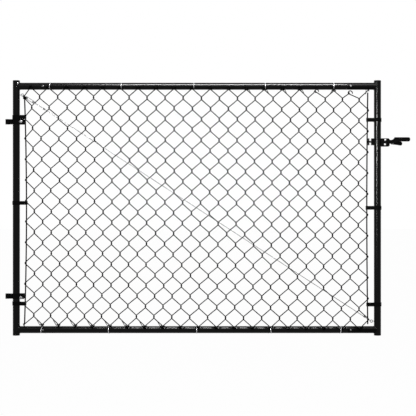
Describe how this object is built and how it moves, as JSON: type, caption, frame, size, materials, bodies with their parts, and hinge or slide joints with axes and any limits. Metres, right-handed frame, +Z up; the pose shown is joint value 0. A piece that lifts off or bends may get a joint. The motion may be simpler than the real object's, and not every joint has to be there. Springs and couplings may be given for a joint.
{
  "type": "chain link gate",
  "caption": "Chain link gate leaf: black tube frame with a woven wire mesh, tension bands, strap hinges, a fork latch and a diagonal anti-sag cable with a turnbuckle.",
  "frame": {"origin": "on the hinge axis, on the flat underside of the lower hinge's eye", "axes": "+X from the hinges to the latch, along the gate's width; +Z up, along the hinge axis; the front face looks along -Y"},
  "size_m": [1.815, 0.074, 1.147],
  "materials": {
    "black_paint": "satin black powder coat on steel",
    "black_plastic": "matt black caps",
    "mesh_wire": "black vinyl coated steel wire",
    "tie_wire": "bare soft aluminium wire",
    "galvanized": "bright zinc plated steel",
    "zinc_hardware": "dull zinc plated steel"
  },
  "bodies": {
    "gate_leaf": {"anti_sag_cable": "galvanized", "bottom_hinge_stub": "black_paint", "bottom_latch_stub": "black_paint", "bottom_rail": "black_paint", "bottom_rail_screws": "zinc_hardware", "bottom_ties": "tie_wire", "cable_anchor_lower": "galvanized", "cable_anchor_upper": "galvanized", "cable_clamps": "galvanized", "hinge_nuts": "zinc_hardware", "hinge_side_band_1": "black_paint", "hinge_side_band_2": "black_paint", "hinge_side_band_3": "black_paint", "hinge_side_band_bolts": "black_paint", "hinge_side_rod": "black_paint", "hinge_upright": "black_paint", "latch_bracket": "black_paint", "latch_mounting_bolt": "black_paint", "latch_nut_plate": "black_paint", "latch_pivot_pin": "black_paint", "latch_saddle": "black_paint", "latch_side_band_1": "black_paint", "latch_side_band_2": "black_paint", "latch_side_band_3": "black_paint", "latch_side_band_bolts": "black_paint", "latch_side_rod": "black_paint", "latch_upright": "black_paint", "lower_hinge_bolt": "zinc_hardware", "lower_hinge_strap": "black_paint", "mesh_hinge_side": "mesh_wire", "mesh_latch_side": "mesh_wire", "mesh_middle": "mesh_wire", "top_hinge_stub": "black_paint", "top_latch_stub": "black_paint", "top_rail": "black_paint", "top_rail_screws": "zinc_hardware", "top_ties": "tie_wire", "turnbuckle_body": "galvanized", "turnbuckle_eye": "galvanized", "turnbuckle_hook": "galvanized", "upper_hinge_bolt": "zinc_hardware", "upper_hinge_strap": "black_paint", "upright_caps": "black_plastic"},
    "fork": {"latch_fork": "black_paint"}
  },
  "joints": [
    {"name": "fork_lift", "type": "hinge", "parent": "gate_leaf", "child": "fork", "pos_m": [1.705, 0, 0.7055], "axis": [0, -1, 0], "range_deg": [0, 90]}
  ]
}
